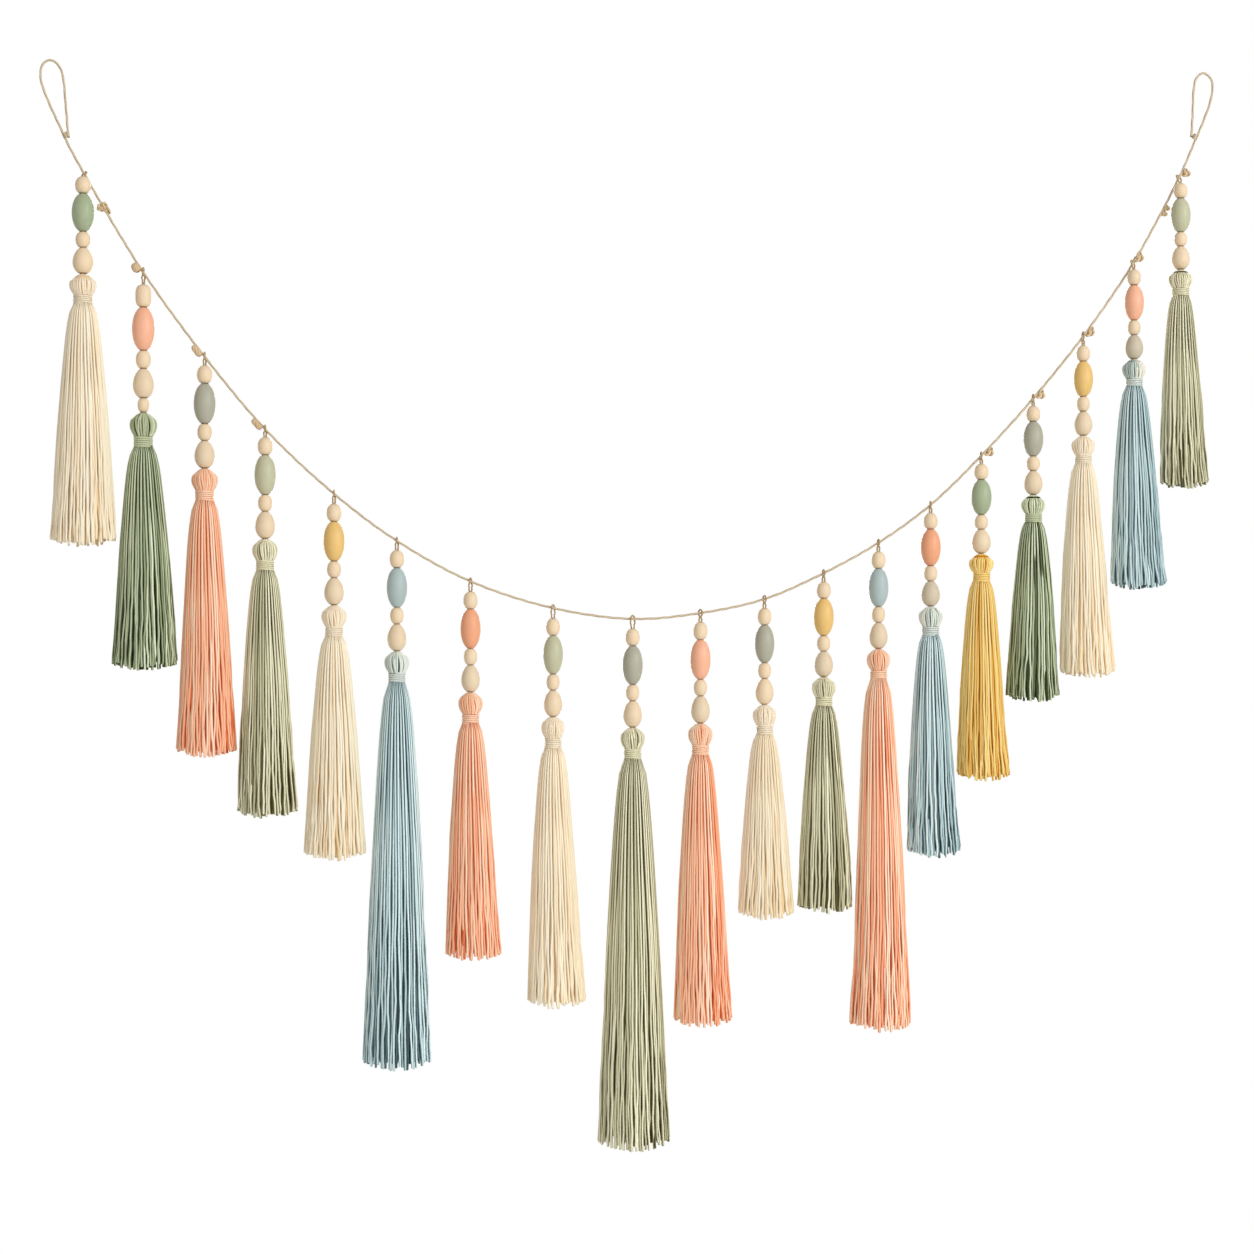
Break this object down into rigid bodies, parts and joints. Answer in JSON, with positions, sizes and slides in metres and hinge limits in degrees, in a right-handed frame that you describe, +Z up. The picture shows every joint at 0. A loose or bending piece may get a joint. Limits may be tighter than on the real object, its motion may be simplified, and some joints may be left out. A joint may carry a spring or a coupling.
{
  "type": "tassel garland",
  "caption": "Hanging garland of wooden beads and yarn tassels strung along one thin twine with a loop at each end.",
  "frame": {"origin": "where a hook bears inside the left hanging loop, at the underside of the loop's top", "axes": "+X to the right along the garland as the viewer sees it, +Z up, the viewer on the -Y side"},
  "size_m": [0.9072, 0.0379, 0.8349],
  "materials": {
    "twine": "natural twisted fibre, matt",
    "natural_wood": "smooth waxed wood, satin",
    "cream_yarn": "spun yarn, matt",
    "fern_yarn": "spun yarn, matt",
    "coral_yarn": "spun yarn, matt",
    "sage_yarn": "spun yarn, matt",
    "blue_yarn": "spun yarn, matt",
    "yellow_yarn": "spun yarn, matt",
    "green_paint": "painted wood, satin",
    "pale_coral_paint": "painted wood, satin",
    "coral_paint": "painted wood, satin",
    "grey_paint": "painted wood, satin",
    "sage_paint": "painted wood, satin",
    "mustard_paint": "painted wood, satin",
    "blue_paint": "painted wood, satin"
  },
  "bodies": {
    "garland_cord": {"main_cord": "twine"},
    "strand_01": {"bead_strand_01": "natural_wood"},
    "bead_01": {"colour_bead_01": "green_paint"},
    "tassel_01": {"tassel_01": "cream_yarn"},
    "strand_02": {"bead_strand_02": "natural_wood"},
    "bead_02": {"colour_bead_02": "pale_coral_paint"},
    "tassel_02": {"tassel_02": "fern_yarn"},
    "strand_03": {"bead_strand_03": "natural_wood"},
    "bead_03": {"colour_bead_03": "grey_paint"},
    "tassel_03": {"tassel_03": "coral_yarn"},
    "strand_04": {"bead_strand_04": "natural_wood"},
    "bead_04": {"colour_bead_04": "sage_paint"},
    "tassel_04": {"tassel_04": "sage_yarn"},
    "strand_05": {"bead_strand_05": "natural_wood"},
    "bead_05": {"colour_bead_05": "mustard_paint"},
    "tassel_05": {"tassel_05": "cream_yarn"},
    "strand_06": {"bead_strand_06": "natural_wood"},
    "bead_06": {"colour_bead_06": "blue_paint"},
    "tassel_06": {"tassel_06": "blue_yarn"},
    "strand_07": {"bead_strand_07": "natural_wood"},
    "bead_07": {"colour_bead_07": "coral_paint"},
    "tassel_07": {"tassel_07": "coral_yarn"},
    "strand_08": {"bead_strand_08": "natural_wood"},
    "bead_08": {"colour_bead_08": "sage_paint"},
    "tassel_08": {"tassel_08": "cream_yarn"},
    "strand_09": {"bead_strand_09": "natural_wood"},
    "bead_09": {"colour_bead_09": "grey_paint"},
    "tassel_09": {"tassel_09": "sage_yarn"},
    "strand_10": {"bead_strand_10": "natural_wood"},
    "bead_10": {"colour_bead_10": "pale_coral_paint"},
    "tassel_10": {"tassel_10": "coral_yarn"},
    "strand_11": {"bead_strand_11": "natural_wood"},
    "bead_11": {"colour_bead_11": "grey_paint"},
    "tassel_11": {"tassel_11": "cream_yarn"},
    "strand_12": {"bead_strand_12": "natural_wood"},
    "bead_12": {"colour_bead_12": "mustard_paint"},
    "tassel_12": {"tassel_12": "sage_yarn"},
    "strand_13": {"bead_strand_13": "natural_wood"},
    "bead_13": {"colour_bead_13": "blue_paint"},
    "tassel_13": {"tassel_13": "coral_yarn"},
    "strand_14": {"bead_strand_14": "natural_wood"},
    "bead_14": {"colour_bead_14": "coral_paint"},
    "tassel_14": {"tassel_14": "blue_yarn"},
    "strand_15": {"bead_strand_15": "natural_wood"},
    "bead_15": {"colour_bead_15": "green_paint"},
    "tassel_15": {"tassel_15": "yellow_yarn"},
    "strand_16": {"bead_strand_16": "natural_wood"},
    "bead_16": {"colour_bead_16": "grey_paint"},
    "tassel_16": {"tassel_16": "fern_yarn"},
    "strand_17": {"bead_strand_17": "natural_wood"},
    "bead_17": {"colour_bead_17": "mustard_paint"},
    "tassel_17": {"tassel_17": "cream_yarn"},
    "strand_18": {"bead_strand_18": "natural_wood"},
    "bead_18": {"colour_bead_18": "pale_coral_paint"},
    "tassel_18": {"tassel_18": "blue_yarn"},
    "strand_19": {"bead_strand_19": "natural_wood"},
    "bead_19": {"colour_bead_19": "sage_paint"},
    "tassel_19": {"tassel_19": "sage_yarn"}
  },
  "joints": [
    {"name": "strand_swing_01", "type": "hinge", "parent": "garland_cord", "child": "strand_01", "pos_m": [0.02619, 0, -0.08556], "axis": [-1, 0, 0], "range_deg": [0, 60]},
    {"name": "bead_turn_01", "type": "hinge", "parent": "strand_01", "child": "bead_01", "pos_m": [0.02619, -0.00601, -0.116], "axis": [0, 0, 1], "continuous": true},
    {"name": "tassel_tilt_01", "type": "hinge", "parent": "strand_01", "child": "tassel_01", "pos_m": [0.02619, -0.00601, -0.17053], "axis": [-1, 0, 0], "range_deg": [-25, 25]},
    {"name": "strand_swing_02", "type": "hinge", "parent": "garland_cord", "child": "strand_02", "pos_m": [0.07092, 0, -0.16037], "axis": [-1, 0, 0], "range_deg": [-60, 60]},
    {"name": "bead_turn_02", "type": "hinge", "parent": "strand_02", "child": "bead_02", "pos_m": [0.07092, 0, -0.20349], "axis": [0, 0, 1], "continuous": true},
    {"name": "tassel_tilt_02", "type": "hinge", "parent": "strand_02", "child": "tassel_02", "pos_m": [0.07092, 0, -0.2767], "axis": [-1, 0, 0], "range_deg": [-25, 25]},
    {"name": "strand_swing_03", "type": "hinge", "parent": "garland_cord", "child": "strand_03", "pos_m": [0.11735, 0, -0.22435], "axis": [-1, 0, 0], "range_deg": [-60, 60]},
    {"name": "bead_turn_03", "type": "hinge", "parent": "strand_03", "child": "bead_03", "pos_m": [0.11735, 0, -0.26031], "axis": [0, 0, 1], "continuous": true},
    {"name": "tassel_tilt_03", "type": "hinge", "parent": "strand_03", "child": "tassel_03", "pos_m": [0.11735, 0, -0.31823], "axis": [-1, 0, 0], "range_deg": [-25, 25]},
    {"name": "strand_swing_04", "type": "hinge", "parent": "garland_cord", "child": "strand_04", "pos_m": [0.16332, 0, -0.27956], "axis": [-1, 0, 0], "range_deg": [-60, 60]},
    {"name": "bead_turn_04", "type": "hinge", "parent": "strand_04", "child": "bead_04", "pos_m": [0.16332, 0, -0.3146], "axis": [0, 0, 1], "continuous": true},
    {"name": "tassel_tilt_04", "type": "hinge", "parent": "strand_04", "child": "tassel_04", "pos_m": [0.16332, 0, -0.37174], "axis": [-1, 0, 0], "range_deg": [-25, 25]},
    {"name": "strand_swing_05", "type": "hinge", "parent": "garland_cord", "child": "strand_05", "pos_m": [0.2158, 0, -0.32894], "axis": [-1, 0, 0], "range_deg": [-60, 60]},
    {"name": "bead_turn_05", "type": "hinge", "parent": "strand_05", "child": "bead_05", "pos_m": [0.2158, 0, -0.36538], "axis": [0, 0, 1], "continuous": true},
    {"name": "tassel_tilt_05", "type": "hinge", "parent": "strand_05", "child": "tassel_05", "pos_m": [0.2158, 0, -0.42247], "axis": [-1, 0, 0], "range_deg": [-25, 25]},
    {"name": "strand_swing_06", "type": "hinge", "parent": "garland_cord", "child": "strand_06", "pos_m": [0.26382, 0, -0.36493], "axis": [-1, 0, 0], "range_deg": [-60, 60]},
    {"name": "bead_turn_06", "type": "hinge", "parent": "strand_06", "child": "bead_06", "pos_m": [0.26382, 0, -0.40081], "axis": [0, 0, 1], "continuous": true},
    {"name": "tassel_tilt_06", "type": "hinge", "parent": "strand_06", "child": "tassel_06", "pos_m": [0.26382, 0, -0.45779], "axis": [-1, 0, 0], "range_deg": [-25, 25]},
    {"name": "strand_swing_07", "type": "hinge", "parent": "garland_cord", "child": "strand_07", "pos_m": [0.32022, 0, -0.39595], "axis": [-1, 0, 0], "range_deg": [-60, 60]},
    {"name": "bead_turn_07", "type": "hinge", "parent": "strand_07", "child": "bead_07", "pos_m": [0.32022, 0, -0.43237], "axis": [0, 0, 1], "continuous": true},
    {"name": "tassel_tilt_07", "type": "hinge", "parent": "strand_07", "child": "tassel_07", "pos_m": [0.32022, 0, -0.48935], "axis": [-1, 0, 0], "range_deg": [-25, 25]},
    {"name": "strand_swing_08", "type": "hinge", "parent": "garland_cord", "child": "strand_08", "pos_m": [0.38366, 0, -0.41648], "axis": [-1, 0, 0], "range_deg": [-60, 60]},
    {"name": "bead_turn_08", "type": "hinge", "parent": "strand_08", "child": "bead_08", "pos_m": [0.38366, 0, -0.4524], "axis": [0, 0, 1], "continuous": true},
    {"name": "tassel_tilt_08", "type": "hinge", "parent": "strand_08", "child": "tassel_08", "pos_m": [0.38366, 0, -0.50815], "axis": [-1, 0, 0], "range_deg": [-25, 25]},
    {"name": "strand_swing_09", "type": "hinge", "parent": "garland_cord", "child": "strand_09", "pos_m": [0.44505, 0, -0.42483], "axis": [-1, 0, 0], "range_deg": [-60, 60]},
    {"name": "bead_turn_09", "type": "hinge", "parent": "strand_09", "child": "bead_09", "pos_m": [0.44505, 0, -0.46044], "axis": [0, 0, 1], "continuous": true},
    {"name": "tassel_tilt_09", "type": "hinge", "parent": "strand_09", "child": "tassel_09", "pos_m": [0.44505, 0, -0.51653], "axis": [-1, 0, 0], "range_deg": [-25, 25]},
    {"name": "strand_swing_10", "type": "hinge", "parent": "garland_cord", "child": "strand_10", "pos_m": [0.49745, 0, -0.42031], "axis": [-1, 0, 0], "range_deg": [-60, 60]},
    {"name": "bead_turn_10", "type": "hinge", "parent": "strand_10", "child": "bead_10", "pos_m": [0.49745, 0, -0.45614], "axis": [0, 0, 1], "continuous": true},
    {"name": "tassel_tilt_10", "type": "hinge", "parent": "strand_10", "child": "tassel_10", "pos_m": [0.49745, 0, -0.51362], "axis": [-1, 0, 0], "range_deg": [-25, 25]},
    {"name": "strand_swing_11", "type": "hinge", "parent": "garland_cord", "child": "strand_11", "pos_m": [0.54716, 0, -0.40945], "axis": [-1, 0, 0], "range_deg": [-60, 60]},
    {"name": "bead_turn_11", "type": "hinge", "parent": "strand_11", "child": "bead_11", "pos_m": [0.54716, 0, -0.44405], "axis": [0, 0, 1], "continuous": true},
    {"name": "tassel_tilt_11", "type": "hinge", "parent": "strand_11", "child": "tassel_11", "pos_m": [0.54716, 0, -0.49892], "axis": [-1, 0, 0], "range_deg": [-25, 25]},
    {"name": "strand_swing_12", "type": "hinge", "parent": "garland_cord", "child": "strand_12", "pos_m": [0.59314, 0, -0.38943], "axis": [-1, 0, 0], "range_deg": [-60, 60]},
    {"name": "bead_turn_12", "type": "hinge", "parent": "strand_12", "child": "bead_12", "pos_m": [0.59314, 0, -0.42336], "axis": [0, 0, 1], "continuous": true},
    {"name": "tassel_tilt_12", "type": "hinge", "parent": "strand_12", "child": "tassel_12", "pos_m": [0.59314, 0, -0.47745], "axis": [-1, 0, 0], "range_deg": [-25, 25]},
    {"name": "strand_swing_13", "type": "hinge", "parent": "garland_cord", "child": "strand_13", "pos_m": [0.63582, 0, -0.36583], "axis": [-1, 0, 0], "range_deg": [-60, 60]},
    {"name": "bead_turn_13", "type": "hinge", "parent": "strand_13", "child": "bead_13", "pos_m": [0.63582, 0, -0.4005], "axis": [0, 0, 1], "continuous": true},
    {"name": "tassel_tilt_13", "type": "hinge", "parent": "strand_13", "child": "tassel_13", "pos_m": [0.63582, 0, -0.45593], "axis": [-1, 0, 0], "range_deg": [-25, 25]},
    {"name": "strand_swing_14", "type": "hinge", "parent": "garland_cord", "child": "strand_14", "pos_m": [0.67654, 0, -0.33643], "axis": [-1, 0, 0], "range_deg": [-60, 60]},
    {"name": "bead_turn_14", "type": "hinge", "parent": "strand_14", "child": "bead_14", "pos_m": [0.67654, 0, -0.36933], "axis": [0, 0, 1], "continuous": true},
    {"name": "tassel_tilt_14", "type": "hinge", "parent": "strand_14", "child": "tassel_14", "pos_m": [0.67654, 0, -0.4227], "axis": [-1, 0, 0], "range_deg": [-25, 25]},
    {"name": "strand_swing_15", "type": "hinge", "parent": "garland_cord", "child": "strand_15", "pos_m": [0.71619, 0, -0.29818], "axis": [-1, 0, 0], "range_deg": [-60, 60]},
    {"name": "bead_turn_15", "type": "hinge", "parent": "strand_15", "child": "bead_15", "pos_m": [0.71619, 0, -0.33022], "axis": [0, 0, 1], "continuous": true},
    {"name": "tassel_tilt_15", "type": "hinge", "parent": "strand_15", "child": "tassel_15", "pos_m": [0.71619, 0, -0.38142], "axis": [-1, 0, 0], "range_deg": [-25, 25]},
    {"name": "strand_swing_16", "type": "hinge", "parent": "garland_cord", "child": "strand_16", "pos_m": [0.7569, 0, -0.25345], "axis": [-1, 0, 0], "range_deg": [-60, 60]},
    {"name": "bead_turn_16", "type": "hinge", "parent": "strand_16", "child": "bead_16", "pos_m": [0.7569, 0, -0.28481], "axis": [0, 0, 1], "continuous": true},
    {"name": "tassel_tilt_16", "type": "hinge", "parent": "strand_16", "child": "tassel_16", "pos_m": [0.7569, 0, -0.33562], "axis": [-1, 0, 0], "range_deg": [-25, 25]},
    {"name": "strand_swing_17", "type": "hinge", "parent": "garland_cord", "child": "strand_17", "pos_m": [0.7962, 0, -0.20489], "axis": [-1, 0, 0], "range_deg": [-60, 60]},
    {"name": "bead_turn_17", "type": "hinge", "parent": "strand_17", "child": "bead_17", "pos_m": [0.7962, 0, -0.23807], "axis": [0, 0, 1], "continuous": true},
    {"name": "tassel_tilt_17", "type": "hinge", "parent": "strand_17", "child": "tassel_17", "pos_m": [0.7962, 0, -0.28971], "axis": [-1, 0, 0], "range_deg": [-25, 25]},
    {"name": "strand_swing_18", "type": "hinge", "parent": "garland_cord", "child": "strand_18", "pos_m": [0.83531, 0, -0.14814], "axis": [-1, 0, 0], "range_deg": [0, 60]},
    {"name": "bead_turn_18", "type": "hinge", "parent": "strand_18", "child": "bead_18", "pos_m": [0.83531, -0.0038, -0.17897], "axis": [0, 0, 1], "continuous": true},
    {"name": "tassel_tilt_18", "type": "hinge", "parent": "strand_18", "child": "tassel_18", "pos_m": [0.83531, -0.0038, -0.23022], "axis": [-1, 0, 0], "range_deg": [-25, 25]},
    {"name": "strand_swing_19", "type": "hinge", "parent": "garland_cord", "child": "strand_19", "pos_m": [0.87158, 0, -0.08109], "axis": [-1, 0, 0], "range_deg": [0, 60]},
    {"name": "bead_turn_19", "type": "hinge", "parent": "strand_19", "child": "bead_19", "pos_m": [0.87158, -0.00524, -0.11088], "axis": [0, 0, 1], "continuous": true},
    {"name": "tassel_tilt_19", "type": "hinge", "parent": "strand_19", "child": "tassel_19", "pos_m": [0.87158, -0.00524, -0.16035], "axis": [-1, 0, 0], "range_deg": [-25, 25]}
  ]
}
